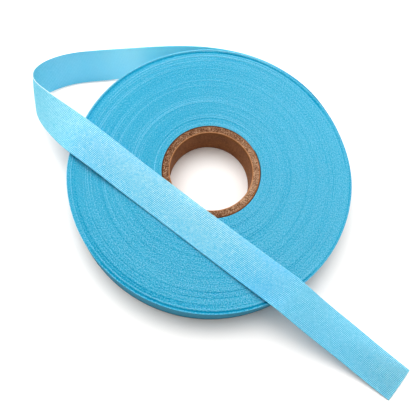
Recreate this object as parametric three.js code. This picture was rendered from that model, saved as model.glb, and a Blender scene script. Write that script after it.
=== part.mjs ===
// A roll of woven seam-sealing tape, lying on its side face: a paperboard core, the tape wound on
// it, and the tape's loose end. The end leaves the far side of the roll standing on its edge, turns
// over in one open loop, lies across the upper face past the core and droops to the table.
//
// Millimetres and degrees, +Z up. While the pieces are made, the roll's axis is at x = y = 0 and the
// table at z = 0; at the end the group is moved so that the middle of its footprint is the origin.

import * as THREE from 'three';

// ---- driving dimensions ----

const TAPE_WIDTH = 22.4;         // the roll is as tall as its tape is wide
const TAPE_BUILD = 0.45;         // what one turn of tape adds to the radius
const SHEET_THICKNESS = 1.0;     // the loose end as a solid sheet
const PIECE_GAP = 0.3;           // left between pieces that touch

const CORE = { boreDiameter: 50.5, outsideDiameter: 60, edgeChamfer: 0.4, segments: 96 };

// The wound tape. Its outside grows by one turn of tape on the way round from the place where the
// loose end begins, and it is pressed in a little on the side where the tape comes away: each row
// moves the outside in by so much between two azimuths.
const WOUND = { radius: 86.3, tapeStart: 40, segments: 180 };
const PRESSED_SIDE = [
  { from: 5, to: 35, inward: 1.3 }, { from: 95, to: 125, inward: 0.75 }, { from: 168, to: 194, inward: -2.05 },
];

// The loose end's first stretch still follows the roll, as a turn that has gone slack. It stands off
// by a little more than PIECE_GAP, because the smooth curve runs inside the points that steer it.
const SLACK_TURN = { from: 42, to: 90, step: 6, clearance: 0.45, floorClearance: 0.3 };

// The rest of the loose end, as rows that steer a smooth curve. x, y and z are the middle of the
// tape's width. lean turns the width about the run of the tape: 0 stands on edge, 90 lies flat with
// the outer face up, and below 0 the upper edge leans away from the roll.
const LOOSE_END = [
  // leaving the roll
  { x: -9, y: 85.5, z: 11.5, lean: 0 },
  { x: -21, y: 84.5, z: 11.5, lean: 0 },
  { x: -36, y: 81.5, z: 11.5, lean: 0 },
  // falling back as it runs out
  { x: -51, y: 75.5, z: 11.5, lean: -8 },
  { x: -66, y: 68, z: 11.5, lean: -22 },
  { x: -84, y: 61, z: 11.2, lean: -30 },
  { x: -101, y: 56, z: 10.2, lean: -30 },
  // the loop, climbing as it turns
  { x: -114, y: 48, z: 10.5, lean: -29 },
  { x: -121.5, y: 36.5, z: 14.5, lean: -17 },
  { x: -120, y: 25, z: 20, lean: 14 },
  { x: -109, y: 15.5, z: 24.5, lean: 38 },
  // coming down on to the roll's upper face
  { x: -94.5, y: 7, z: 27, lean: 55 },
  { x: -80.5, y: 0, z: 28.2, lean: 81 },
  { x: -64, y: -7, z: 26.8, lean: 88 },
  { x: -46, y: -15.5, z: 24.2, lean: 90 },
  // flat across the face
  { x: -27, y: -24, z: 23.6, lean: 90 },
  { x: 12, y: -42.5, z: 23.6, lean: 90 },
  { x: 43.5, y: -57.5, z: 24.6, lean: 90 },
  // over the rim and down to the table
  { x: 57.5, y: -64, z: 26.5, lean: 90 },
  { x: 70, y: -70, z: 22.5, lean: 90 },
  { x: 84, y: -75.5, z: 16, lean: 90 },
  { x: 97, y: -80.5, z: 11, lean: 90 },
  { x: 110, y: -86, z: 6, lean: 90 },
  { x: 123.5, y: -92, z: 2.6, lean: 90 },
  { x: 136.5, y: -98, z: 0.8, lean: 90 },
];
const SECTIONS_PER_ROW = 6;

// ---- finishes ----

const paperboard = new THREE.MeshStandardMaterial({ color: 0x8a5a3c, roughness: 0.9, metalness: 0 });
const woundFabric = new THREE.MeshStandardMaterial({ color: 0x3fb2d8, roughness: 0.85, metalness: 0 });
const wovenFace = new THREE.MeshStandardMaterial({ color: 0x74cff0, roughness: 0.75, metalness: 0 });

// ---- helpers ----

const radians = THREE.MathUtils.degToRad;

// A point on the plan, given by its distance and direction from the roll's axis.
function onPlan(radius, azimuth) {
  return new THREE.Vector2(radius * Math.cos(radians(azimuth)), radius * Math.sin(radians(azimuth)));
}

// The wound tape's outside radius in a direction from 0 to 360.
function woundRadius(azimuth) {
  const turned = THREE.MathUtils.euclideanModulo(azimuth - WOUND.tapeStart, 360) / 360;
  const pressed = PRESSED_SIDE.reduce(
    (sum, row) => sum + row.inward * THREE.MathUtils.smoothstep(azimuth, row.from, row.to), 0);
  return WOUND.radius + TAPE_BUILD * turned - pressed;
}

// A uniform cubic B-spline steered by rows of { x, y, z, lean }, from the first row to the last.
function smoothRun(rows, sectionsPerRow) {
  const columns = ['x', 'y', 'z', 'lean'];
  const beyond = (row, next) => Object.fromEntries(columns.map((c) => [c, 2 * row[c] - next[c]]));
  const last = rows.length - 1;
  const steering = [beyond(rows[0], rows[1]), ...rows, beyond(rows[last], rows[last - 1])];
  const count = last * sectionsPerRow;
  const run = [];
  for (let i = 0; i <= count; i += 1) {
    const span = Math.min(Math.floor(i / sectionsPerRow), last - 1);
    const t = i / sectionsPerRow - span;
    const weights = [
      (1 - t) ** 3,
      3 * t ** 3 - 6 * t ** 2 + 4,
      -3 * t ** 3 + 3 * t ** 2 + 3 * t + 1,
      t ** 3,
    ];
    const blend = (c) => weights.reduce((sum, w, k) => sum + (w * steering[span + k][c]) / 6, 0);
    run.push(Object.fromEntries(columns.map((c) => [c, blend(c)])));
  }
  return run;
}

// Each section of the sheet: its middle, the way its width points and the way its outer face looks.
function sheetSections(run) {
  const middles = run.map((p) => new THREE.Vector3(p.x, p.y, p.z));
  return run.map((p, i) => {
    const before = middles[Math.max(i - 1, 0)];
    const after = middles[Math.min(i + 1, middles.length - 1)];
    const along = after.clone().sub(before).normalize();
    const level = new THREE.Vector3(-along.y, along.x, 0).normalize();
    const upright = along.clone().cross(level);
    const width = upright.multiplyScalar(Math.cos(radians(p.lean)))
      .addScaledVector(level, Math.sin(radians(p.lean)));
    return { middle: middles[i], width, face: along.clone().cross(width) };
  });
}

// A closed solid from sections that each hold the same ring of points, capped at both ends.
function loft(rings) {
  const size = rings[0].length;
  const positions = rings.flat().flatMap((p) => [p.x, p.y, p.z]);
  const triangles = [];
  for (let i = 0; i < rings.length - 1; i += 1) {
    for (let k = 0; k < size; k += 1) {
      const a = i * size + k;
      const b = i * size + ((k + 1) % size);
      triangles.push(a, b, a + size, b, b + size, a + size);
    }
  }
  const end = (rings.length - 1) * size;
  for (let k = 1; k < size - 1; k += 1) {
    triangles.push(0, k + 1, k);
    triangles.push(end, end + k, end + k + 1);
  }
  const geometry = new THREE.BufferGeometry();
  geometry.setAttribute('position', new THREE.Float32BufferAttribute(positions, 3));
  geometry.setIndex(triangles);
  geometry.computeVertexNormals();
  return geometry;
}

function namedMesh(name, geometry, material) {
  const mesh = new THREE.Mesh(geometry, material);
  mesh.name = name;
  return mesh;
}

// ---- the core: a spiral-wound paperboard tube, its edges just broken ----

function makeCore() {
  const inner = CORE.boreDiameter / 2;
  const outer = CORE.outsideDiameter / 2;
  const c = CORE.edgeChamfer;
  const profile = [
    [inner + c, 0], [outer - c, 0], [outer, c], [outer, TAPE_WIDTH - c],
    [outer - c, TAPE_WIDTH], [inner + c, TAPE_WIDTH], [inner, TAPE_WIDTH - c], [inner, c],
    [inner + c, 0],
  ].map(([r, z]) => new THREE.Vector2(r, z));
  const geometry = new THREE.LatheGeometry(profile, CORE.segments);
  geometry.rotateX(Math.PI / 2);
  return namedMesh('core', geometry, paperboard);
}

// ---- the wound tape: every turn in one ring, flat on both faces ----

function makeWoundTape() {
  const outline = [];
  for (let i = 0; i < WOUND.segments; i += 1) {
    const azimuth = WOUND.tapeStart + (360 * i) / WOUND.segments;
    outline.push(onPlan(woundRadius(azimuth % 360), azimuth));
  }
  // The outline closes on a step: the full turn ends one thickness of tape further out.
  outline.push(onPlan(woundRadius(WOUND.tapeStart) + TAPE_BUILD, WOUND.tapeStart));
  const shape = new THREE.Shape(outline);
  const hole = new THREE.Path();
  hole.absarc(0, 0, CORE.outsideDiameter / 2 + PIECE_GAP, 0, 2 * Math.PI, true);
  shape.holes.push(hole);
  const geometry = new THREE.ExtrudeGeometry(shape, {
    depth: TAPE_WIDTH, bevelEnabled: false, curveSegments: CORE.segments,
  });
  return namedMesh('wound_tape', geometry, woundFabric);
}

// ---- the loose end: one strip of tape, bent and turned but never creased ----

function makeLooseEnd() {
  const slackTurn = [];
  for (let azimuth = SLACK_TURN.from; azimuth <= SLACK_TURN.to; azimuth += SLACK_TURN.step) {
    const radius = woundRadius(azimuth) + SLACK_TURN.clearance + SHEET_THICKNESS / 2;
    const { x, y } = onPlan(radius, azimuth);
    slackTurn.push({ x, y, z: TAPE_WIDTH / 2 + SLACK_TURN.floorClearance, lean: 0 });
  }
  const run = smoothRun([...slackTurn, ...LOOSE_END], SECTIONS_PER_ROW);
  const corners = [[-1, -1], [1, -1], [1, 1], [-1, 1]];
  const rings = sheetSections(run).map(({ middle, width, face }) => corners.map(([w, f]) => (
    middle.clone()
      .addScaledVector(width, (w * TAPE_WIDTH) / 2)
      .addScaledVector(face, (f * SHEET_THICKNESS) / 2)
  )));
  return namedMesh('loose_end', loft(rings), wovenFace);
}

// ---- the whole roll, its origin under the middle of its footprint ----

const roll = new THREE.Group();
roll.add(makeCore(), makeWoundTape(), makeLooseEnd());

const reach = new THREE.Box3().setFromObject(roll, true);
const footprint = reach.getCenter(new THREE.Vector3());
roll.position.set(-footprint.x, -footprint.y, -reach.min.z);

export default roll;
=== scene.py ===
# %% [markdown]
# # A roll of woven tape
# The real thing is about fifty metres of light blue woven tape, wound on a brown paperboard core and
# laid on its side. Its loose end stands up round the far side of the roll, turns over in a loop, lies
# across the upper face and droops to the table. This notebook dresses the measured solids: the
# winding, the core and the loose end each get their own mesh and finish, in the solids' own frame.

import math

import bpy
import numpy as np
from mathutils import Matrix, Vector, noise


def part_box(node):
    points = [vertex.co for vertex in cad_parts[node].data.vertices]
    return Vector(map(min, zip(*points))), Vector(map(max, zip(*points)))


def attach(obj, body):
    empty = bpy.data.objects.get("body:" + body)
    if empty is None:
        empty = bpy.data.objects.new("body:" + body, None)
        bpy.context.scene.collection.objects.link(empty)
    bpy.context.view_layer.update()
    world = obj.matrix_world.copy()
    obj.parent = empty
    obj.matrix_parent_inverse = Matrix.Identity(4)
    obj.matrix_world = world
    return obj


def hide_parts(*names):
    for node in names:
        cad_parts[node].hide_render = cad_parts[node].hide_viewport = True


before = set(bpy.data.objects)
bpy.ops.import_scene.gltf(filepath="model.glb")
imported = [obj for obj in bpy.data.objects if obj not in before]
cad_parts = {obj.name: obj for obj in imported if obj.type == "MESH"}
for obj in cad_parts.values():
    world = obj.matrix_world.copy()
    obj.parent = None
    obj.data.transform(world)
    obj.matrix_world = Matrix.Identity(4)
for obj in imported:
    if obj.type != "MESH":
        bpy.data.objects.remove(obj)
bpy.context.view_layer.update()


# %% [markdown]
# Every size below is in millimetres, as a tape maker would give it, and is measured from the roll's
# own axis. The core's solid says where that axis stands, so nothing is placed by eye.

# %% Units and the roll's axis
MM = 0.001
core_low, core_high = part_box("core")
AXIS = (core_low + core_high) / 2
AXIS.z = 0
TAPE_WIDTH = (core_high.z - core_low.z) / MM
CORE_OUTSIDE = (core_high.x - core_low.x) / MM / 2


def placed(points_mm):
    """Points given in millimetres from the roll's axis, as an array in the frame's metres."""
    return np.asarray(points_mm, float) * MM + np.array(AXIS)


print(f"roll axis at x {AXIS.x:.4f}, y {AXIS.y:.4f}")
print(f"tape {TAPE_WIDTH:.1f} mm wide, core radius {CORE_OUTSIDE:.1f} mm")

# %% [markdown]
# The camera looks down steeply on the roll from the front, a little turned about its own line of
# sight. It is built from its tilt and roll, so that each number can be changed alone.

# %% Camera
LENS_MM = 48.36
TILT_DOWN = math.radians(71.72)
SIDE_ROLL = math.radians(12.68)
CAMERA_FROM_AXIS = (3.0, -127.8, 337.3)


def make_camera():
    forward = Vector((0, math.cos(TILT_DOWN), -math.sin(TILT_DOWN)))
    level = Vector((1, 0, 0))
    upward = level.cross(forward)
    camera_x = math.cos(SIDE_ROLL) * level + math.sin(SIDE_ROLL) * upward
    camera_y = math.cos(SIDE_ROLL) * upward - math.sin(SIDE_ROLL) * level
    lens = bpy.data.cameras.new("camera")
    lens.lens = LENS_MM
    camera = bpy.data.objects.new("camera", lens)
    turned = Matrix((camera_x, camera_y, -forward)).transposed().to_4x4()
    camera.matrix_world = Matrix.Translation(placed(CAMERA_FROM_AXIS)) @ turned
    bpy.context.scene.collection.objects.link(camera)
    bpy.context.scene.camera = camera
    return camera


print("camera at", [round(c, 3) for c in make_camera().matrix_world.translation])

# %% [markdown]
# A shop shows such a roll on a white sweep under large soft lights. Three hang high behind it, the
# strongest at the left, and leave the soft shadow at the roll's near side. An even sky fills the
# rest. The sky and the table are a touch warm, because the blue cloth throws blue light into its own
# shadows.

# %% Table and light
SKY_STRENGTH = 0.42
WARM_SKY = (1.0, 0.95, 0.9)
PANELS = [
    {"name": "left_panel", "size": 1.0, "azimuth": 145, "height": 65, "power": 13.0},
    {"name": "back_panel", "size": 1.8, "azimuth": 103, "height": 50, "power": 6.5},
    {"name": "right_panel", "size": 1.0, "azimuth": 55, "height": 65, "power": 6.5},
]
PANEL_DISTANCE = 1.2
TABLE_HALF = 3.0
TABLE_DROP = 0.00005
TABLE_WHITE = (0.9, 0.89, 0.88)


def new_material(name):
    material = bpy.data.materials.new(name)
    material.use_nodes = True
    return material, material.node_tree, material.node_tree.nodes["Principled BSDF"]


def make_table():
    mesh = bpy.data.meshes.new("table")
    far = TABLE_HALF
    corners = [(-far, -far), (far, -far), (far, far), (-far, far)]
    mesh.from_pydata([(x, y, -TABLE_DROP) for x, y in corners], [], [(0, 1, 2, 3)])
    table = bpy.data.objects.new("table", mesh)
    bpy.context.scene.collection.objects.link(table)
    material, _, surface = new_material("white_table")
    surface.inputs["Base Color"].default_value = (*TABLE_WHITE, 1)
    surface.inputs["Roughness"].default_value = 0.9
    surface.inputs["Specular IOR Level"].default_value = 0.1
    mesh.materials.append(material)


def make_sky():
    scene = bpy.context.scene
    scene.view_settings.view_transform = "Standard"
    scene.world = bpy.data.worlds.new("studio")
    scene.world.use_nodes = True
    sky = scene.world.node_tree.nodes["Background"]
    sky.inputs["Color"].default_value = (*WARM_SKY, 1)
    sky.inputs["Strength"].default_value = SKY_STRENGTH


def hang_panel(panel):
    azimuth, height = math.radians(panel["azimuth"]), math.radians(panel["height"])
    level = math.cos(height)
    away = Vector((math.cos(azimuth) * level, math.sin(azimuth) * level, math.sin(height)))
    light = bpy.data.lights.new(panel["name"], "AREA")
    light.size = panel["size"]
    light.energy = panel["power"]
    lamp = bpy.data.objects.new(panel["name"], light)
    lamp.location = AXIS + away * PANEL_DISTANCE
    lamp.rotation_euler = away.to_track_quat("Z", "Y").to_euler()
    bpy.context.scene.collection.objects.link(lamp)


make_table()
make_sky()
for panel in PANELS:
    hang_panel(panel)
    print(panel["name"], panel["power"], "W")

# %% [markdown]
# ## Small helpers for node trees
# Materials and geometry are both node trees, so one helper adds a node, sets it up and wires it. The
# trees below then read as a list of steps.

# %% Node helpers


def add(tree, kind, inputs=None, **settings):
    """Adds one node. Each input is a value, or another node's output to link from."""
    node = tree.nodes.new(kind)
    for name, value in settings.items():
        setattr(node, name, value)
    for key, value in (inputs or {}).items():
        if isinstance(value, bpy.types.NodeSocket):
            tree.links.new(value, node.inputs[key])
        else:
            node.inputs[key].default_value = value
    return node


def calc(tree, operation, *values):
    """One Math node, as a value that other nodes can take."""
    return add(tree, "ShaderNodeMath", dict(enumerate(values)), operation=operation).outputs[0]


def between(tree, value, low, high, to_low=0.0, to_high=1.0, smooth=True):
    """A value mapped from one range to another and held at its ends."""
    kind = "SMOOTHSTEP" if smooth else "LINEAR"
    ends = {"Value": value, "From Min": low, "From Max": high, "To Min": to_low, "To Max": to_high}
    return add(tree, "ShaderNodeMapRange", ends, interpolation_type=kind).outputs["Result"]


def new_group(name, kind, inputs, outputs):
    """A node group with named sockets: {name: default} goes in, and {name: socket type} comes out."""
    tree = bpy.data.node_groups.new(name, kind)
    for label, value in inputs.items():
        kind_of = "NodeSocketVector" if isinstance(value, tuple) else "NodeSocketFloat"
        tree.interface.new_socket(label, in_out="INPUT", socket_type=kind_of).default_value = value
    for label, kind_of in outputs.items():
        tree.interface.new_socket(label, in_out="OUTPUT", socket_type=kind_of)
    return tree, tree.nodes.new("NodeGroupInput").outputs, tree.nodes.new("NodeGroupOutput")


def dye(code):
    """A colour written as a web code, as the linear colour that shaders take."""
    parts = [int(code[i:i + 2], 16) / 255 for i in (1, 3, 5)]
    return (*(c / 12.92 if c <= 0.04045 else ((c + 0.055) / 1.055) ** 2.4 for c in parts), 1)


def shades(tree, value, stops):
    """A colour ramp through {position: web code}."""
    ramp = add(tree, "ShaderNodeValToRGB", {"Fac": value})
    points = ramp.color_ramp.elements
    rows = list(stops.items())
    for element, (position, code) in zip(list(points), rows[:2]):
        element.position = position
        element.color = dye(code)
    for position, code in rows[2:]:
        points.new(position).color = dye(code)
    return ramp.outputs["Color"]


def blend(tree, share, first, second):
    """A colour between two, by a share from 0 to 1."""
    return add(tree, "ShaderNodeMix", {0: share, 6: first, 7: second}, data_type="RGBA").outputs[2]


def from_axis(tree):
    """Radius and azimuth about the roll's axis, in metres and radians, and the height."""
    spot = add(tree, "ShaderNodeTexCoord").outputs["Object"]
    centred = add(tree, "ShaderNodeMapping", {"Vector": spot, "Location": tuple(-AXIS)}).outputs[0]
    parts = add(tree, "ShaderNodeSeparateXYZ", {"Vector": centred}).outputs
    flat = add(tree, "ShaderNodeCombineXYZ", {"X": parts["X"], "Y": parts["Y"]}).outputs[0]
    radius = add(tree, "ShaderNodeVectorMath", {0: flat}, operation="LENGTH").outputs["Value"]
    return radius, calc(tree, "ARCTAN2", parts["Y"], parts["X"]), parts["Z"], spot


def object_spot(tree):
    """The point on the piece, in the piece's own coordinates."""
    return add(tree, "ShaderNodeTexCoord").outputs["Object"]


def cover(tree, surface, colour, height, strength, distance):
    """Gives a surface its colour, and a relief of so many metres."""
    bump = add(tree, "ShaderNodeBump", {"Height": height, "Strength": strength, "Distance": distance})
    tree.links.new(colour, surface.inputs["Base Color"])
    tree.links.new(bump.outputs["Normal"], surface.inputs["Normal"])


def set_all(surface, values):
    """Sets sockets of the surface that are the same all over it."""
    for name, value in values.items():
        surface.inputs[name].default_value = value


print("helpers ready")

# %% [markdown]
# ## Shared effects
# Two effects turn up on more than one piece. Lint is the soft mottle of loose fibres, on the wound
# edges, the woven faces and the paperboard. The weave is the grid of a plain-woven tape: ends run
# along it, picks cross it, and each yarn is a little thicker or thinner than its neighbours.

# %% Lint


def lint_group():
    """Soft uneven specks about 0 to 1, at two sizes."""
    sizes = {"Vector": (0.0, 0.0, 0.0), "Fine size": 0.0008, "Coarse size": 0.006, "Fine share": 0.7}
    tree, given, result = new_group("Lint", "ShaderNodeTree", sizes, {"Value": "NodeSocketFloat"})

    def specks(size, detail):
        scale = calc(tree, "DIVIDE", 1.0, given[size])
        inputs = {"Vector": given["Vector"], "Scale": scale, "Detail": detail}
        return add(tree, "ShaderNodeTexNoise", inputs).outputs["Fac"]

    fine_part = calc(tree, "MULTIPLY", specks("Fine size", 3.0), given["Fine share"])
    coarse_share = calc(tree, "SUBTRACT", 1.0, given["Fine share"])
    coarse_part = calc(tree, "MULTIPLY", specks("Coarse size", 2.0), coarse_share)
    tree.links.new(calc(tree, "ADD", fine_part, coarse_part), result.inputs["Value"])
    return tree


LINT = lint_group()
print("group:", LINT.name)

# %% The weave


def weave_group():
    """Height and tone of a plain weave. Along and Across are distances on the tape, in metres."""
    inputs = {
        "Along": 0.0, "Across": 0.0, "Pick pitch": 0.001, "End pitch": 0.001,
        "Skew": -0.1, "Grid": 1.0, "Slub": 0.5,
    }
    outputs = {"Height": "NodeSocketFloat", "Tone": "NodeSocketFloat"}
    tree, given, result = new_group("Plain weave", "ShaderNodeTree", inputs, outputs)
    leaned = calc(tree, "ADD", given["Along"], calc(tree, "MULTIPLY", given["Across"], given["Skew"]))
    pick = calc(tree, "DIVIDE", leaned, given["Pick pitch"])
    end = calc(tree, "DIVIDE", given["Across"], given["End pitch"])

    def wave(count):
        return calc(tree, "SINE", calc(tree, "MULTIPLY", count, math.pi))

    def slubs(long_way, yarn):
        where = add(tree, "ShaderNodeCombineXYZ", {
            "X": long_way, "Y": calc(tree, "MULTIPLY", calc(tree, "FLOOR", yarn), 7.3)}).outputs[0]
        return add(tree, "ShaderNodeTexNoise", {"Vector": where, "Scale": 1.0, "Detail": 1.0}).outputs["Fac"]

    pick_yarn = calc(tree, "ABSOLUTE", wave(pick))
    end_yarn = calc(tree, "ABSOLUTE", wave(end))
    checks = calc(tree, "MULTIPLY", wave(pick), wave(end))
    grid = calc(tree, "ADD", calc(tree, "MULTIPLY", pick_yarn, 0.5), calc(tree, "MULTIPLY", end_yarn, 0.4))
    grid = calc(tree, "SUBTRACT", grid, 0.57)
    height = calc(tree, "ADD", grid, calc(tree, "MULTIPLY", checks, 0.2))
    pick_slubs = slubs(calc(tree, "MULTIPLY", end, 0.7), pick)
    end_slubs = slubs(calc(tree, "MULTIPLY", pick, 0.5), calc(tree, "ADD", end, 40.0))
    uneven = calc(tree, "SUBTRACT", calc(tree, "ADD", pick_slubs, end_slubs), 1.0)
    grid_tone = calc(tree, "MULTIPLY", grid, given["Grid"])
    tone = calc(tree, "ADD", grid_tone, calc(tree, "MULTIPLY", uneven, given["Slub"]))
    tree.links.new(height, result.inputs["Height"])
    tree.links.new(tone, result.inputs["Tone"])
    return tree


WEAVE = weave_group()
print("group:", WEAVE.name)

# %% [markdown]
# ## Finish of the woven face
# The tape is matt plain-woven cloth with a faint sheen, and it is thin enough to let light through,
# so the loop glows where it turns its back to a lamp. Subsurface scattering gives part of that glow,
# and painted light in the colour gives the rest. A plain diffuse cloth would go dull there, and a
# transparent one would show the roll through it.

# %% Yarn counts, and where a point lies on the tape
PICK_PITCH = 0.975
END_PITCH = 0.965
YARN_RELIEF = 0.00015
# The weave's tone swings about nought, and a colour ramp runs from 0 to 1.
TONE_SHIFT = 0.4


def tape_place(tree):
    """How far a point lies along and across the tape, in metres."""
    along = add(tree, "ShaderNodeAttribute", attribute_name="along").outputs["Fac"]
    across = add(tree, "ShaderNodeAttribute", attribute_name="across").outputs["Fac"]
    return along, across


def woven(tree, inputs):
    """The weave, at this tape's own spacing of picks and ends."""
    spacing = {"Pick pitch": PICK_PITCH * MM, "End pitch": END_PITCH * MM}
    return add(tree, "ShaderNodeGroup", {**spacing, **inputs}, node_tree=WEAVE)


print(f"{10 / PICK_PITCH:.1f} picks and {10 / END_PITCH:.1f} ends to the centimetre")

# %% [markdown]
# The loose end changes as it goes: it is slack round the roll to about 90 mm, stands in the loop to
# 265 mm, lies over the roll to 415 mm and then droops. Every rule below is written as two of those
# distances and eases from one to the other, so that no line shows between them. Slow changes come
# from here, and they are painted light and shade: a brighter tone on the backlit band, a darker one
# where the end droops, and the upper edge painted lighter than the lower. The yarns' own light and
# dark come from the weave.

# %% Tone of the woven face
HALF_TAPE = 0.0112


def face_tone(tree, zone, across, yarns, relief):
    """How light the cloth is: its yarns and lint, and painted light and shade along and across it."""
    lint = add(tree, "ShaderNodeGroup", {
        "Vector": object_spot(tree), "Fine size": 0.0006, "Fine share": 0.95}, node_tree=LINT)
    linty = calc(tree, "MULTIPLY", calc(tree, "SUBTRACT", lint.outputs["Value"], 0.5), 0.7)
    close_up = calc(tree, "MULTIPLY", calc(tree, "ADD", yarns, linty), relief)
    # tone level along the tape, with painted light: much brighter on the backlit band before 178 mm
    base_and_painted_light = calc(tree, "ADD", zone(125, 178, 0.85, 0.24), zone(195, 250, 0.0, 0.3))
    # painted shade: darker where the end droops, a little lighter again at the cut
    painted_shade_droop = calc(tree, "ADD", zone(360, 440, 0.0, -0.25), zone(475, 505, 0.0, 0.08))
    # painted light: the upper edge lighter than the lower one, from the loop on
    painted_light_across = between(tree, across, -HALF_TAPE, HALF_TAPE, -0.06, 0.035)
    painted_light_slope = calc(tree, "MULTIPLY", painted_light_across, zone(220, 260))
    tone = calc(tree, "ADD", calc(tree, "ADD", close_up, base_and_painted_light), painted_shade_droop)
    return calc(tree, "ADD", tone, painted_light_slope)


# %% [markdown]
# One tone gives two blues, as painted light on one cloth. Where the tape hangs free its colour is
# painted greener, and where it lies on the roll bluer, so each has a colour ramp and the distance
# mixes them. Near the roll the standing band is painted a clear bright blue, a painted glow.
# The first stretch starts in the winding's outer wall colour, which is painted shade, and pales to
# the face's, so that no step shows where the loose end begins. The selvedges carry painted light:
# the lower one is painted dark as a painted shadow, and the upper one gets a painted highlight round
# the bend.

# %% Colour of the woven face


def face_cloth(tree, zone, across, tone, start_tone):
    """The cloth's colour, zone by zone, with painted light and shade, then its selvedges' painted shadow and
    highlight.
    """
    # painted light: one cloth as two ramps, greener where it hangs and bluer where it lies
    hanging_painted_light_ramp = shades(tree, tone, {0.0: "#1297bd", 0.5: "#6abddb", 1.0: "#b4e4f6"})
    lying_painted_light_ramp = shades(tree, tone, {0.0: "#0098da", 0.5: "#5cbcee", 1.0: "#c6e6fa"})
    on_roll = calc(tree, "MULTIPLY", zone(250, 280), zone(400, 430, 1.0, 0.0))
    cloth = blend(tree, on_roll, hanging_painted_light_ramp, lying_painted_light_ramp)
    # a faint pink tint where the end droops, part of its painted shade
    cloth = blend(tree, zone(375, 420, 0.0, 0.035), cloth, dye("#e6a0dc"))
    # painted glow: the standing band near the roll in a bright clear blue
    cloth = blend(tree, zone(125, 165, 1.0, 0.0), cloth, dye("#64c8ff"))
    # painted shade: the first stretch in the outer wall's painted dark colours
    painted_wall_shade = shades(tree, start_tone, {0.0: "#187595", 1.0: "#459db9"})
    cloth = blend(tree, zone(0, 85, 1.0, 0.0), cloth, painted_wall_shade)
    # painted shadow: the lower selvedge dark all along the tape
    painted_selvedge_shadow = between(tree, across, -0.01112, -0.01103, 1.0, 0.0)
    cloth = blend(tree, painted_selvedge_shadow, cloth, dye("#026a98"))
    # painted highlight on the upper selvedge round the bend
    bend = calc(tree, "MULTIPLY", zone(160, 175), zone(235, 270, 1.0, 0.0))
    painted_selvedge_highlight = calc(tree, "MULTIPLY", between(tree, across, 0.0109, 0.01105), bend)
    return blend(tree, painted_selvedge_highlight, cloth, dye("#d2f2ff"))


# %% The woven face


def woven_face():
    material, tree, surface = new_material("tape_face")
    along, across = tape_place(tree)

    def zone(start_mm, end_mm, before=0.0, after=1.0):
        return between(tree, along, start_mm * MM, end_mm * MM, before, after)

    weave = woven(tree, {
        "Along": along, "Across": across, "Slub": 0.3, "Grid": zone(420, 490, 1.05, 1.75),
        "Skew": calc(tree, "ADD", zone(220, 400, -0.06, -0.32), zone(440, 500, 0.0, 0.04)),
    })
    yarns = weave.outputs["Tone"]
    relief = calc(tree, "MULTIPLY", zone(170, 260, 0.12, 1.0), zone(400, 480, 1.0, 0.7))
    tone = face_tone(tree, zone, across, yarns, relief)
    cloth = face_cloth(tree, zone, across, tone, calc(tree, "ADD", yarns, TONE_SHIFT))
    depth = calc(tree, "MULTIPLY", relief, 0.4)
    cover(tree, surface, cloth, weave.outputs["Height"], depth, YARN_RELIEF)
    set_all(surface, {
        "Roughness": 0.8, "Specular IOR Level": 0.2, "Sheen Weight": 0.05, "Sheen Roughness": 0.5,
        "Subsurface Weight": 1.0, "Subsurface Radius": (1.0, 1.0, 1.0), "Subsurface Scale": 0.0022,
    })
    return material


WOVEN_FACE = woven_face()
print("finish:", WOVEN_FACE.name)

# %% [markdown]
# ## Finish of the wound edges
# The face of the roll is over a hundred tape edges side by side, so it is darker and rougher than
# the tape's own face, and has no grid. The rings are real turns at different heights. A proud turn
# catches light and a sunken one lies in shade, and the lift that the winding stores also paints a
# little light on proud turns and painted shade on sunken ones. The face is also painted paler
# towards the upper right, as painted light. Loose fibres blur it all, most of all on the near side.

# %% Wound edges of the tape
LIFT_TO_TONE = 2400.0


def wound_edges():
    material, tree, surface = new_material("tape_edges")
    lint = add(tree, "ShaderNodeGroup", {
        "Vector": object_spot(tree), "Fine size": 0.0007, "Fine share": 0.95}, node_tree=LINT)
    lint_value = lint.outputs["Value"]
    lift = add(tree, "ShaderNodeAttribute", attribute_name="lift").outputs["Fac"]
    _, azimuth, _, _ = from_axis(tree)

    def towards(degrees):
        return calc(tree, "COSINE", calc(tree, "SUBTRACT", azimuth, math.radians(degrees)))

    fluffy = between(tree, towards(270), 0.3, 0.95, 1.9, 2.8)
    lint_tone = calc(tree, "MULTIPLY", calc(tree, "SUBTRACT", lint_value, 0.5), fluffy)
    # painted light: the face's tone, paler towards the upper right
    painted_light_right = between(tree, towards(30), -0.5, 0.8, 0.48, 0.57)
    # painted light and shade: proud turns lighter, sunken turns darker
    painted_lift_shade = calc(tree, "MULTIPLY", lift, LIFT_TO_TONE)
    tone = calc(tree, "ADD", calc(tree, "ADD", painted_lift_shade, lint_tone), painted_light_right)
    cloth = shades(tree, tone, {0.0: "#0083aa", 0.25: "#249ac0", 0.5: "#42a3c6", 1.0: "#74bddd"})
    cover(tree, surface, cloth, lint_value, 0.2, 0.0002)
    set_all(surface, {
        "Roughness": 0.9, "Specular IOR Level": 0.1, "Subsurface Weight": 0.6,
        "Subsurface Radius": (0.2, 0.8, 1.0), "Subsurface Scale": 0.001,
    })
    return material


WOUND_EDGES = wound_edges()
print("finish:", WOUND_EDGES.name)

# %% [markdown]
# ## Finish of the outer wall
# The roll's outer wall is the tape's face again, with a solid stack of turns behind it, so no light
# comes through. Its colours are painted much darker than the loose end's, as painted shade, and a
# painted contact shadow darkens it further in the last few millimetres above the table.

# %% Outer wall of the winding


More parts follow.
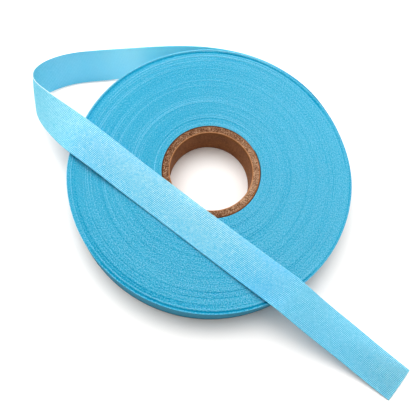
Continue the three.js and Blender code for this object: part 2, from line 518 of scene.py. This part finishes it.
def wound_wall():
    material, tree, surface = new_material("tape_wall")
    along, across = tape_place(tree)
    weave = woven(tree, {"Along": along, "Across": across})
    tone = calc(tree, "ADD", weave.outputs["Tone"], TONE_SHIFT)
    # painted shade: the wall's colours are darker than the same cloth on the loose end
    cloth = shades(tree, tone, {0.0: "#187190", 0.4: "#2b82a0", 1.0: "#489fb8"})
    # painted contact shadow at the foot of the wall
    painted_foot_shadow = between(tree, across, -HALF_TAPE, -0.007, 0.9, 0.0)
    cloth = blend(tree, painted_foot_shadow, cloth, dye("#0b4052"))
    cover(tree, surface, cloth, weave.outputs["Height"], 0.4, YARN_RELIEF)
    set_all(surface, {"Roughness": 0.85, "Specular IOR Level": 0.15})
    return material


WOUND_WALL = wound_wall()
print("finish:", WOUND_WALL.name)

# %% [markdown]
# ## Finish of the paperboard
# The core is brown board. Its sawn end shows fibres and the thin lines of its plies, which a sine of
# the radius draws, with a pale lip at the bore and one darker outer ply. Its wall inside the bore is
# the smooth face of the innermost ply, so it is plainer and a little glossier.

# %% Sawn end of the core
PLY = 0.0006


def paperboard_end():
    material, tree, surface = new_material("board_end")
    radius, azimuth, _, spot = from_axis(tree)
    lint = add(tree, "ShaderNodeGroup", {
        "Vector": spot, "Fine size": 0.0007, "Coarse size": 0.0025}, node_tree=LINT)
    plies = calc(tree, "SINE", calc(tree, "MULTIPLY", radius, 2 * math.pi / PLY))
    # lighter, with a more orange outer ply, towards the right
    right_side = between(tree, calc(tree, "COSINE", azimuth), 0.2, 1.0)
    tone = calc(tree, "ADD", lint.outputs["Value"], calc(tree, "MULTIPLY", plies, 0.07))
    tone = calc(tree, "ADD", tone, calc(tree, "MULTIPLY", right_side, 0.07))
    board = shades(tree, tone, {0.3: "#28150a", 0.5: "#654029", 0.7: "#b18f72"})
    outer_ply = blend(tree, right_side, dye("#4a2a13"), dye("#8a5226"))
    board = blend(tree, between(tree, radius, 0.0292, 0.0297), board, outer_ply)
    inner_lip = between(tree, radius, 0.02595, 0.0256, 0.0, 0.8)
    board = blend(tree, inner_lip, board, dye("#ad784f"))
    cover(tree, surface, board, tone, 0.8, 0.0004)
    set_all(surface, {"Roughness": 0.95, "Specular IOR Level": 0.1})
    return material


BOARD_END = paperboard_end()
print("finish:", BOARD_END.name)

# %% Wall of the core


def paperboard_wall():
    material, tree, surface = new_material("board_wall")
    lint = add(tree, "ShaderNodeGroup", {
        "Vector": object_spot(tree), "Fine size": 0.0012, "Coarse size": 0.008}, node_tree=LINT)
    board = shades(tree, lint.outputs["Value"], {0.3: "#683f20", 0.7: "#9a6338"})
    cover(tree, surface, board, lint.outputs["Value"], 0.3, 0.0002)
    set_all(surface, {"Roughness": 0.7, "Specular IOR Level": 0.12})
    return material


BOARD_WALL = paperboard_wall()
print("finish:", BOARD_WALL.name)

# %% [markdown]
# ## The winding
# A machine winds the tape in one long spiral, and each turn wanders up and down a little, which is
# what draws the fine rings on the face. Geometry Nodes suit this: a spiral curve is resampled to even
# steps, pushed about by a few rules, and swept with the tape's own thin section, so every turn is
# really there. A lathe with painted rings would be lighter, but its rings would be perfect circles.

# %% Sizes of the winding
WOUND_RADIUS = 86.3
TAPE_BUILD = 0.45
TAPE_THICKNESS = 0.41
TAPE_START = 40
TURNS = 125
# The outer turns are pressed in: each row moves them in by so much (mm) between two azimuths.
PRESSED_SIDE = [
    {"from": 5, "to": 35, "inward": 1.3}, {"from": 95, "to": 125, "inward": 0.75},
    {"from": 168, "to": 194, "inward": -2.05},
]
LAST_TURN = WOUND_RADIUS + TAPE_BUILD - TAPE_THICKNESS / 2
FIRST_TURN = LAST_TURN - TURNS * TAPE_BUILD

# Rings that stand out on the face: lift (mm) at a radius, over half a width, round an azimuth.
RINGS = [
    # the groove inside the slack outer turns, far side
    {"radius": 82.6, "half_width": 0.65, "lift": -0.22, "azimuth": 130, "spread": 50},
    {"radius": 83.0, "half_width": 0.6, "lift": -0.25, "azimuth": 70, "spread": 32},
    {"radius": 83.5, "half_width": 0.5, "lift": -0.12, "azimuth": 34, "spread": 22},
    {"radius": 84.4, "half_width": 0.7, "lift": 0.25, "azimuth": 125, "spread": 60},
    # the groove and the proud band, near side
    {"radius": 85.2, "half_width": 0.6, "lift": -0.3, "azimuth": 275, "spread": 55},
    {"radius": 85.4, "half_width": 0.4, "lift": -0.15, "azimuth": 340, "spread": 45},
    {"radius": 84.0, "half_width": 0.4, "lift": 0.12, "azimuth": 280, "spread": 60},
    {"radius": 82.1, "half_width": 0.4, "lift": -0.1, "azimuth": 245, "spread": 50},
    # proud and sunken turns near the core and elsewhere
    {"radius": 32.0, "half_width": 0.35, "lift": 0.12, "azimuth": 110, "spread": 70},
    {"radius": 36.1, "half_width": 0.3, "lift": 0.12, "azimuth": 115, "spread": 65},
    {"radius": 35.1, "half_width": 0.4, "lift": -0.1, "azimuth": 120, "spread": 65},
    {"radius": 78.4, "half_width": 0.3, "lift": 0.12, "azimuth": 130, "spread": 35},
]


def smooth(x):
    x = np.clip(x, 0, 1)
    return x * x * (3 - 2 * x)


def wound_radius(azimuth):
    """The outside radius of the winding (mm) in a direction from 0 to 360."""
    turned = ((azimuth - TAPE_START) % 360) / 360
    pressed = 0
    for row in PRESSED_SIDE:
        share = smooth((azimuth - row["from"]) / (row["to"] - row["from"]))
        pressed += row["inward"] * share
    return WOUND_RADIUS + TAPE_BUILD * turned - pressed


print(f"{TURNS} turns from radius {FIRST_TURN:.2f} to {LAST_TURN:.2f} mm")

# %% A ring that stands out, as a small geometry group


def ring_lift_group():
    """How far a ring lifts a point, from the point's radius (mm) and azimuth (radians)."""
    inputs = {
        "Radius": 0.0, "Azimuth": 0.0, "At radius": 80.0, "Half width": 0.5, "Lift": 0.2,
        "At azimuth": 0.0, "Spread": 1.0,
    }
    outputs = {"Lift": "NodeSocketFloat"}
    tree, given, result = new_group("Ring lift", "GeometryNodeTree", inputs, outputs)
    away = calc(tree, "SUBTRACT", given["Radius"], given["At radius"])
    offset = calc(tree, "DIVIDE", away, given["Half width"])
    hump = calc(tree, "EXPONENT", calc(tree, "MULTIPLY", calc(tree, "MULTIPLY", offset, offset), -1.0))
    facing = calc(tree, "COSINE", calc(tree, "SUBTRACT", given["Azimuth"], given["At azimuth"]))
    core_of_it = calc(tree, "COSINE", calc(tree, "MULTIPLY", given["Spread"], 0.6))
    reach = between(tree, facing, calc(tree, "COSINE", given["Spread"]), core_of_it)
    lifted = calc(tree, "MULTIPLY", calc(tree, "MULTIPLY", hump, reach), given["Lift"])
    tree.links.new(lifted, result.inputs["Lift"])
    return tree


RING_LIFT = ring_lift_group()
print("group:", RING_LIFT.name)

# %% [markdown]
# The tree is built in five steps, each a function that adds its nodes: the spiral, the side that is
# pressed in, the lift of the turns, the swept section and the notes that the finishes read. All its
# sizes are named inputs, so the roll can be wound again with other numbers.

# %% The spiral and its pressed side
WINDING_SIZES = {
    "Turns": float(TURNS), "First turn": FIRST_TURN, "Last turn": LAST_TURN,
    "Start azimuth": math.radians(TAPE_START), "Tape width": TAPE_WIDTH,
    "Tape thickness": TAPE_THICKNESS, "Edge round": 0.1, "Step": 4.2, "Wander": 0.36,
    "Evener side": math.radians(22), "Ridged side": math.radians(150), "Axis": tuple(AXIS),
}


def spiral_path(tree, given):
    """One spiral from the core to the last turn, anticlockwise seen from above, in even steps."""
    spiral = add(tree, "GeometryNodeCurveSpiral", {
        "Resolution": 128, "Rotations": given["Turns"], "Start Radius": given["First turn"],
        "End Radius": given["Last turn"], "Height": 0.0, "Reverse": True})
    turned = add(tree, "ShaderNodeCombineXYZ", {"Z": given["Start azimuth"]}).outputs[0]
    spun = add(tree, "GeometryNodeTransform", {
        "Geometry": spiral.outputs["Curve"], "Rotation": turned})
    even = add(tree, "GeometryNodeResampleCurve", {
        "Curve": spun.outputs["Geometry"], "Length": given["Step"]}, mode="LENGTH")
    return even.outputs["Curve"]


def pressed_radius(tree, given, radius, azimuth):
    """The radius (mm) after pressing, which fades towards the core."""
    degrees = calc(tree, "MULTIPLY", azimuth, 180 / math.pi)
    whole_turn = calc(tree, "MULTIPLY", calc(tree, "LESS_THAN", degrees, 0.0), 360.0)
    degrees = calc(tree, "ADD", degrees, whole_turn)
    pressing = 0.0
    for row in PRESSED_SIDE:
        moved_in = between(tree, degrees, row["from"], row["to"], 0.0, row["inward"])
        pressing = calc(tree, "ADD", pressing, moved_in)
    outward = between(tree, radius, given["First turn"], given["Last turn"], smooth=False)
    pressed = calc(tree, "MULTIPLY", pressing, calc(tree, "POWER", outward, 2.0))
    return calc(tree, "SUBTRACT", radius, pressed)


print("winding inputs:", ", ".join(WINDING_SIZES))

# %% [markdown]
# No machine lays every turn level. A slow noise along the tape lifts and drops its upper edge, and
# where the drift is strongest a turn stands proud of its neighbours or lies sunken between them.
# Proud turns belong to one side of the roll and sunken ones to the other, one side and the middle of
# the face are laid more evenly, and a dozen rings are listed one by one. The lower edges stay level,
# because they all stand on the table.

# %% The lift of the turns
EVEN_RADIUS = 58.0
# A drift past this much either way makes a turn stand proud or sunken, about a rest level.
DRIFT_STEP = 0.05
DRIFT_REST = 0.075


def turn_lift(tree, given, along, radius, azimuth):
    """How far (mm) each point of the tape's upper edge is lifted by uneven winding."""
    noise_inputs = {"W": along, "Scale": 0.004, "Detail": 2.0}
    wander = add(tree, "ShaderNodeTexNoise", noise_inputs, noise_dimensions="1D")
    drift = calc(tree, "SUBTRACT", wander.outputs["Fac"], 0.5)
    proud = calc(tree, "SUBTRACT", calc(tree, "MAXIMUM", drift, DRIFT_STEP), DRIFT_REST)
    sunken = calc(tree, "ADD", calc(tree, "MINIMUM", drift, -DRIFT_STEP), DRIFT_REST)
    ridged = calc(tree, "COSINE", calc(tree, "SUBTRACT", azimuth, given["Ridged side"]))
    share = between(tree, ridged, -0.3, 0.9, 0.0, 1.0)
    proud_part = calc(tree, "MULTIPLY", proud, share)
    sunken_part = calc(tree, "MULTIPLY", sunken, calc(tree, "SUBTRACT", 1.0, share))
    uneven = calc(tree, "MULTIPLY", calc(tree, "ADD", proud_part, sunken_part), 2.0)
    lift = calc(tree, "ADD", calc(tree, "MULTIPLY", drift, 0.6), uneven)
    lift = calc(tree, "MULTIPLY", lift, given["Wander"])
    evenness = calc(tree, "COSINE", calc(tree, "SUBTRACT", azimuth, given["Evener side"]))
    lift = calc(tree, "MULTIPLY", lift, between(tree, evenness, 0.3, 1.0, 0.95, 0.35, smooth=False))
    from_middle = calc(tree, "ABSOLUTE", calc(tree, "SUBTRACT", radius, EVEN_RADIUS))
    return calc(tree, "MULTIPLY", lift, between(tree, from_middle, 4.0, 12.0, 0.65, 1.0))


def with_rings(tree, lift, radius, azimuth):
    """The lift with each ring that stands out added to it."""
    for ring in RINGS:
        raised = add(tree, "GeometryNodeGroup", {
            "Radius": radius, "Azimuth": azimuth,
            "At radius": ring["radius"], "Half width": ring["half_width"], "Lift": ring["lift"],
            "At azimuth": math.radians(ring["azimuth"]), "Spread": math.radians(ring["spread"]),
        }, node_tree=RING_LIFT)
        lift = calc(tree, "ADD", lift, raised.outputs["Lift"])
    return lift


print("rings that stand out:", len(RINGS))

# %% [markdown]
# The tape's section is a thin rectangle with eased corners. Curve to Mesh sweeps it along the path,
# and the lift then raises each point by its share of the height. The finishes need the distance
# along and across the tape and the lift, so they are stored on the mesh as named attributes.

# %% The swept tape and what the finishes read


def swept_turns(tree, given, path, lift):
    """The tape's section swept along the path, its upper edge lifted. Gives the height as well."""
    upright = add(tree, "GeometryNodeSetCurveNormal", {"Curve": path}, mode="Z_UP")
    section = add(tree, "GeometryNodeCurvePrimitiveQuadrilateral", {
        "Width": given["Tape thickness"], "Height": given["Tape width"]})
    eased = add(tree, "GeometryNodeFilletCurve", {
        "Curve": section.outputs["Curve"], "Count": 1, "Radius": given["Edge round"]}, mode="POLY")
    tape = add(tree, "GeometryNodeCurveToMesh", {
        "Curve": upright.outputs["Curve"], "Profile Curve": eased.outputs["Curve"],
        "Fill Caps": True})
    spot = add(tree, "GeometryNodeInputPosition").outputs[0]
    height = add(tree, "ShaderNodeSeparateXYZ", {"Vector": spot}).outputs["Z"]
    height_share = calc(tree, "DIVIDE", height, given["Tape width"])
    raised = calc(tree, "MULTIPLY", height_share, lift)
    upward = add(tree, "ShaderNodeCombineXYZ", {"Z": raised}).outputs[0]
    lifted = add(tree, "GeometryNodeSetPosition", {
        "Geometry": tape.outputs["Mesh"], "Offset": upward})
    return lifted.outputs["Geometry"], height


def noted_for_finishes(tree, mesh, values):
    """The same mesh with values (mm) stored on it in metres, under their names."""
    for label, value in values.items():
        metres = calc(tree, "MULTIPLY", value, MM)
        store = add(tree, "GeometryNodeStoreNamedAttribute", {
            "Geometry": mesh, "Name": label}, data_type="FLOAT")
        tree.links.new(metres, store.inputs["Value"])
        mesh = store.outputs["Geometry"]
    return mesh


def crisp_corners(tree, mesh):
    """Smooth shading that stays sharp where the tape turns its edge."""
    angle = add(tree, "GeometryNodeInputMeshEdgeAngle").outputs["Unsigned Angle"]
    crisp = add(tree, "GeometryNodeStoreNamedAttribute", {
        "Geometry": mesh, "Name": "sharp_edge"}, data_type="BOOLEAN", domain="EDGE")
    tree.links.new(calc(tree, "GREATER_THAN", angle, math.radians(30)), crisp.inputs["Value"])
    return add(tree, "GeometryNodeSetShadeSmooth", {
        "Geometry": crisp.outputs["Geometry"], "Shade Smooth": True}).outputs["Geometry"]


def dressed(tree, mesh):
    """The mesh with the wall's finish on its upright faces and the edges' finish on the others."""
    normal = add(tree, "GeometryNodeInputNormal").outputs[0]
    upright = add(tree, "ShaderNodeSeparateXYZ", {"Vector": normal}).outputs["Z"]
    level = calc(tree, "GREATER_THAN", calc(tree, "ABSOLUTE", upright), 0.3)
    walls = add(tree, "GeometryNodeSetMaterial", {"Geometry": mesh, "Material": WOUND_WALL})
    edges = add(tree, "GeometryNodeSetMaterial", {
        "Geometry": walls.outputs["Geometry"], "Material": WOUND_EDGES, "Selection": level})
    return edges.outputs["Geometry"]


print("steps ready: swept_turns, noted_for_finishes, crisp_corners, dressed")

# %% The winding's node tree


def winding_tree():
    outputs = {"Winding": "NodeSocketGeometry"}
    tree, given, result = new_group("Winding", "GeometryNodeTree", WINDING_SIZES, outputs)
    curve = spiral_path(tree, given)
    along = add(tree, "GeometryNodeSplineParameter").outputs["Length"]
    place = add(tree, "GeometryNodeInputPosition").outputs[0]
    parts = add(tree, "ShaderNodeSeparateXYZ", {"Vector": place}).outputs
    radius = add(tree, "ShaderNodeVectorMath", {0: place}, operation="LENGTH").outputs["Value"]
    azimuth = calc(tree, "ARCTAN2", parts["Y"], parts["X"])
    final_radius = pressed_radius(tree, given, radius, azimuth)
    lift = turn_lift(tree, given, along, radius, azimuth)
    lift = with_rings(tree, lift, final_radius, azimuth)

    # kept from the curve, because the swept mesh has forgotten them
    noted = add(tree, "GeometryNodeCaptureAttribute", {"Geometry": curve})
    for label, value in (("Along", along), ("Lift", lift)):
        noted.capture_items.new("FLOAT", label)
        tree.links.new(value, noted.inputs[label])

    middle = calc(tree, "DIVIDE", given["Tape width"], 2.0)
    scale = calc(tree, "DIVIDE", final_radius, radius)
    moved = add(tree, "ShaderNodeCombineXYZ", {
        "X": calc(tree, "MULTIPLY", parts["X"], scale),
        "Y": calc(tree, "MULTIPLY", parts["Y"], scale), "Z": middle}).outputs[0]
    wound = add(tree, "GeometryNodeSetPosition", {
        "Geometry": noted.outputs["Geometry"], "Position": moved})

    kept_lift = noted.outputs["Lift"]
    mesh, height = swept_turns(tree, given, wound.outputs["Geometry"], kept_lift)
    across = calc(tree, "SUBTRACT", height, middle)
    mesh = noted_for_finishes(tree, mesh, {
        "along": noted.outputs["Along"], "across": across, "lift": kept_lift})
    scaled = add(tree, "GeometryNodeTransform", {
        "Geometry": crisp_corners(tree, mesh), "Translation": given["Axis"], "Scale": (MM, MM, MM)})
    real = add(tree, "GeometryNodeRealizeInstances", {"Geometry": scaled.outputs["Geometry"]})
    tree.links.new(dressed(tree, real.outputs["Geometry"]), result.inputs["Winding"])
    return tree


WINDING_TREE = winding_tree()
print("tree:", WINDING_TREE.name, "with", len(WINDING_TREE.nodes), "nodes")

# %% [markdown]
# A Geometry Nodes modifier makes the mesh only while it is live. Its result is copied to a plain
# mesh, and the modifier is removed, so that the piece no longer depends on the tree.

# %% The winding as a plain mesh


def made_by_nodes(name, tree, values):
    """Runs a geometry tree on an empty mesh and keeps the result as a plain mesh object."""
    carrier = bpy.data.objects.new(name, bpy.data.meshes.new(name))
    bpy.context.scene.collection.objects.link(carrier)
    modifier = carrier.modifiers.new("nodes", "NODES")
    modifier.node_group = tree
    for item in tree.interface.items_tree:
        if item.in_out == "INPUT" and item.name in values:
            modifier[item.identifier] = values[item.name]
    evaluated = carrier.evaluated_get(bpy.context.evaluated_depsgraph_get())
    mesh = bpy.data.meshes.new_from_object(evaluated)
    carrier.modifiers.remove(modifier)
    carrier.data = mesh
    mesh.name = name
    return carrier


winding = made_by_nodes("winding", WINDING_TREE, WINDING_SIZES)
winding_points = np.array([v.co for v in winding.data.vertices])
print("winding:", len(winding.data.polygons), "faces, from",
      (winding_points.min(0) / MM).round(2), "to", (winding_points.max(0) / MM).round(2))
print("triangles:", sum(len(p.vertices) - 2 for p in winding.data.polygons))

# %% [markdown]
# ## The loose end
# Woven tape bends and twists freely but hardly stretches, so its run is a smooth curve with a lean at
# each row, and a thin flat section follows it. A cloth simulation would let it fall, but this end
# holds a shape that its stiffness and its past winding give it, so its rows are the measured
# sheet's. Only the slack turn differs: cloth lies closer to the roll there than the thicker solid
# can. The thickness, the crown and the woven edges are added here.

# %% Rows that steer the loose end
# The slack turn: how far (mm) its inner face stands off the winding.
SLACK_TURN = [
    {"azimuth": 40, "stand_off": 0.05}, {"azimuth": 46, "stand_off": 0.35}, {"azimuth": 52, "stand_off": 0.5},
    {"azimuth": 58, "stand_off": 0.45}, {"azimuth": 64, "stand_off": 0.4}, {"azimuth": 72, "stand_off": 0.38},
    {"azimuth": 80, "stand_off": 0.38}, {"azimuth": 88, "stand_off": 0.4},
]
LOOSE_END = [
    # leaving the roll
    {"x": -9, "y": 85.5, "z": 11.5, "lean": 0}, {"x": -21, "y": 84.5, "z": 11.5, "lean": 0},
    {"x": -36, "y": 81.5, "z": 11.5, "lean": 0},
    # falling back as it runs out
    {"x": -51, "y": 75.5, "z": 11.5, "lean": -8}, {"x": -66, "y": 68, "z": 11.5, "lean": -22},
    {"x": -84, "y": 61, "z": 11.2, "lean": -30}, {"x": -101, "y": 56, "z": 10.2, "lean": -30},
    # the loop, climbing as it turns
    {"x": -114, "y": 48, "z": 10.5, "lean": -29}, {"x": -121.5, "y": 36.5, "z": 14.5, "lean": -17},
    {"x": -120, "y": 25, "z": 20, "lean": 14}, {"x": -109, "y": 15.5, "z": 24.5, "lean": 38},
    # coming down on to the roll's upper face
    {"x": -94.5, "y": 7, "z": 27, "lean": 55}, {"x": -80.5, "y": 0, "z": 28.2, "lean": 81},
    {"x": -64, "y": -7, "z": 26.8, "lean": 88}, {"x": -46, "y": -15.5, "z": 24.2, "lean": 90},
    # flat across the face
    {"x": -27, "y": -24, "z": 23.6, "lean": 90}, {"x": 12, "y": -42.5, "z": 23.6, "lean": 90},
    {"x": 43.5, "y": -57.5, "z": 24.6, "lean": 90},
    # over the rim and down to the table
    {"x": 57.5, "y": -64, "z": 26.5, "lean": 90}, {"x": 70, "y": -70, "z": 22.5, "lean": 90},
    {"x": 84, "y": -75.5, "z": 16, "lean": 90}, {"x": 97, "y": -80.5, "z": 11, "lean": 90},
    {"x": 110, "y": -86, "z": 6, "lean": 90}, {"x": 123.5, "y": -92, "z": 2.6, "lean": 90},
    {"x": 136.5, "y": -98, "z": 0.8, "lean": 90},
]
STATIONS_PER_PICK = 4


def steering_rows():
    rows = []
    for row in SLACK_TURN:
        radius = wound_radius(row["azimuth"] + 0.001) + row["stand_off"] + TAPE_THICKNESS / 2
        angle = math.radians(row["azimuth"])
        rise = 0.3 * smooth((row["azimuth"] - TAPE_START) / 20)
        rows.append((radius * math.cos(angle), radius * math.sin(angle), TAPE_WIDTH / 2 + rise, 0))
    rows += [(row["x"], row["y"], row["z"], row["lean"]) for row in LOOSE_END]
    return np.array(rows, float)


def smooth_run(rows, steps):
    """A uniform cubic B-spline steered by the rows, from the first row to the last."""
    rows = np.vstack([2 * rows[0] - rows[1], rows, 2 * rows[-1] - rows[-2]])
    run = []
    for i in range(len(rows) - 3):
        last = i == len(rows) - 4
        for t in np.linspace(0, 1, steps + 1)[: None if last else -1]:
            weights = ((1 - t) ** 3, 3 * t**3 - 6 * t**2 + 4, -3 * t**3 + 3 * t**2 + 3 * t + 1, t**3)
            run.append(sum(w * row for w, row in zip(weights, rows[i:i + 4])) / 6)
    return np.array(run)


def even_steps(run, step):
    """The same run in equal steps along its length, and the distance to each."""
    length = np.concatenate([[0], np.cumsum(np.linalg.norm(np.diff(run[:, :3], axis=0), axis=1))])
    marks = np.linspace(0, length[-1], round(length[-1] / step) + 1)
    return np.stack([np.interp(marks, length, column) for column in run.T], -1), marks


run, marks = even_steps(smooth_run(steering_rows(), 40), PICK_PITCH / STATIONS_PER_PICK)
print(f"loose end: {marks[-1]:.1f} mm long, {len(run)} stations")

# %% [markdown]
# The tape bows a little across its width, its selvedges are fuller than the ground and dip between
# the picks, and its cut end runs slightly off square.

# %% The tape's own section, and the way it faces
CROWN = 0.5
SCALLOP = 0.06
CUT_SKEW = 1.4
# How far from its start the bow begins and how long it takes, and how far the skewed cut reaches.
BOW_FROM = 60
BOW_EASE = 60
CUT_REACH = 12
# Half the width as 1, from the middle out, and half the thickness (mm) there: a fuller selvedge.
SECTION = [
    {"out": 0.0, "half": 0.205}, {"out": 0.3, "half": 0.205}, {"out": 0.6, "half": 0.205},
    {"out": 0.85, "half": 0.205}, {"out": 0.95, "half": 0.225}, {"out": 0.985, "half": 0.19},
    {"out": 1.0, "half": 0.07},
]


def forward_of(run):
    """The way the tape runs at each station."""
    forward = np.gradient(run[:, :3], axis=0)
    return forward / np.linalg.norm(forward, axis=1)[:, None]


def directions(run):
    """For each station: the way the width points and the way the outer face looks."""
    forward = forward_of(run)
    level = np.stack([-forward[:, 1], forward[:, 0], 0 * forward[:, 0]], -1)
    level /= np.linalg.norm(level, axis=1)[:, None]
    lean = np.radians(run[:, 3])[:, None]
    width = np.cos(lean) * np.cross(forward, level) + np.sin(lean) * level
    return width, np.cross(forward, width)


def section_points():
    """The section as a closed loop: (place across from -1 to 1, offset along the face)."""
    right = [(row["out"], row["half"]) for row in SECTION]
    left = [(-out, half) for out, half in reversed(right[1:])]
    outer = left + right
    return outer + [(v, -half) for v, half in reversed(outer)]


print("section:", len(section_points()), "points")

# %% The section swept along the run


def tape_points(run, marks):
    """The swept points (mm), and how far across and along the tape each one lies."""
    width, face = directions(run)
    forward = forward_of(run)
    settled = smooth((marks - BOW_FROM) / BOW_EASE)
    near_cut = smooth(1 - (marks[-1] - marks) / CUT_REACH)
    wave = 0.5 + 0.5 * np.cos(2 * np.pi * marks / PICK_PITCH)
    points, across, along = [], [], []
    for v, offset in section_points():
        edge = abs(v) ** 12
        pulled = near_cut * CUT_SKEW * (v - 1) / 2
        reach = v * (TAPE_WIDTH / 2 - edge * SCALLOP * wave)
        bow = CROWN * settled * (0.4 - v * v)
        point = run[:, :3] + width * reach[:, None] + face * (offset + bow)[:, None]
        points.append(point + forward * pulled[:, None])
        across.append(reach)
        along.append(marks + pulled)
    return np.stack(points, 1).reshape(-1, 3), across, along


def tube_faces(stations, count):
    """Quads between neighbouring stations, and a cap at each end."""
    quads = []
    for i in range(stations - 1):
        for k in range(count):
            a, b = i * count + k, i * count + (k + 1) % count
            quads.append((a, a + count, b + count, b))
    end = (stations - 1) * count
    return quads + [tuple(range(count)), tuple(range(end + count - 1, end - 1, -1))]


def swept_tape(name, run, marks):
    points, across, along = tape_points(run, marks)
    mesh = bpy.data.meshes.new(name)
    mesh.from_pydata(placed(points).tolist(), [], tube_faces(len(run), len(across)))
    for label, columns in (("along", along), ("across", across)):
        values = np.stack(columns, 1).ravel() * MM
        mesh.attributes.new(label, "FLOAT", "POINT").data.foreach_set("value", values)
    mesh.materials.append(WOVEN_FACE)
    mesh.shade_smooth()
    tape = bpy.data.objects.new(name, mesh)
    bpy.context.scene.collection.objects.link(tape)
    return tape


loose_tape = swept_tape("loose_tape", run, marks)
print("loose tape:", len(loose_tape.data.polygons), "faces")

# %% [markdown]
# ## The core
# The core is paperboard wound in a spiral and sawn to length. The saw leaves its ends fibrous, with
# the plies just visible, and a thin lip of the inner liner. It is lathed ring by ring, and the rings
# of the upper cut end are roughened with noise.

# %% Paperboard tube
CORE_BORE = 25.25
CORE_SEGMENTS = 240
END_RINGS = 12
WALL_RINGS = 8
CORNER = 0.25
LIP_HEIGHT = 0.15
LIP_WIDTH = 0.5


def lathe(rows, segments):
    """Closed rings of points from (radius, height) rows, as a torus-like mesh."""
    angles = np.linspace(0, 2 * np.pi, segments, endpoint=False)
    rings = [np.stack([r * np.cos(angles), r * np.sin(angles), 0 * angles + z], -1) for r, z in rows]
    quads = []
    for i in range(len(rows)):
        j = (i + 1) % len(rows)
        for k in range(segments):
            m = (k + 1) % segments
            quads.append((i * segments + k, i * segments + m, j * segments + m, j * segments + k))
    return np.concatenate(rings), quads


def rough_end(point):
    """How far (mm) the saw left a point of the cut end above or below level."""
    radius = math.hypot(point[0], point[1])
    rough = noise.noise(Vector(point) * 1.4) * 0.1 + noise.noise(Vector(point) * 0.5) * 0.08
    lip = LIP_HEIGHT * math.exp(-(((radius - CORE_BORE) / LIP_WIDTH) ** 2))
    return rough + lip - 0.1


def make_core():
    ends = np.linspace(CORE_BORE + CORNER, CORE_OUTSIDE - CORNER, END_RINGS)
    wall = np.linspace(CORNER, TAPE_WIDTH - CORNER, WALL_RINGS)
    rows = [(r, 0.0) for r in ends[::-1]]
    rows += [(CORE_BORE, z) for z in wall]
    rows += [(r, TAPE_WIDTH) for r in ends]
    rows += [(CORE_OUTSIDE, z) for z in wall[::-1]]
    points, quads = lathe(rows, CORE_SEGMENTS)
    for point in points:
        if point[2] > TAPE_WIDTH - CORNER:
            point[2] += rough_end(point)
    mesh = bpy.data.meshes.new("core_tube")
    mesh.from_pydata(placed(points).tolist(), [], quads)
    mesh.materials.append(BOARD_END)
    mesh.materials.append(BOARD_WALL)
    for polygon in mesh.polygons:
        polygon.material_index = 1 if abs(polygon.normal.z) < 0.5 else 0
    mesh.shade_smooth()
    tube = bpy.data.objects.new("core_tube", mesh)
    bpy.context.scene.collection.objects.link(tube)
    return tube


core_tube = make_core()
print("core tube:", len(core_tube.data.polygons), "faces")

# %% [markdown]
# ## What each piece stands for
# Every piece rides on the roll's one body, and the solid whose place it takes is hidden.

for piece, node, slot in (
    (winding, "wound_tape", "wound_edges"),
    (loose_tape, "loose_end", "woven_face"),
    (core_tube, "core", "paperboard"),
):
    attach(piece, "root")
    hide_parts(node)
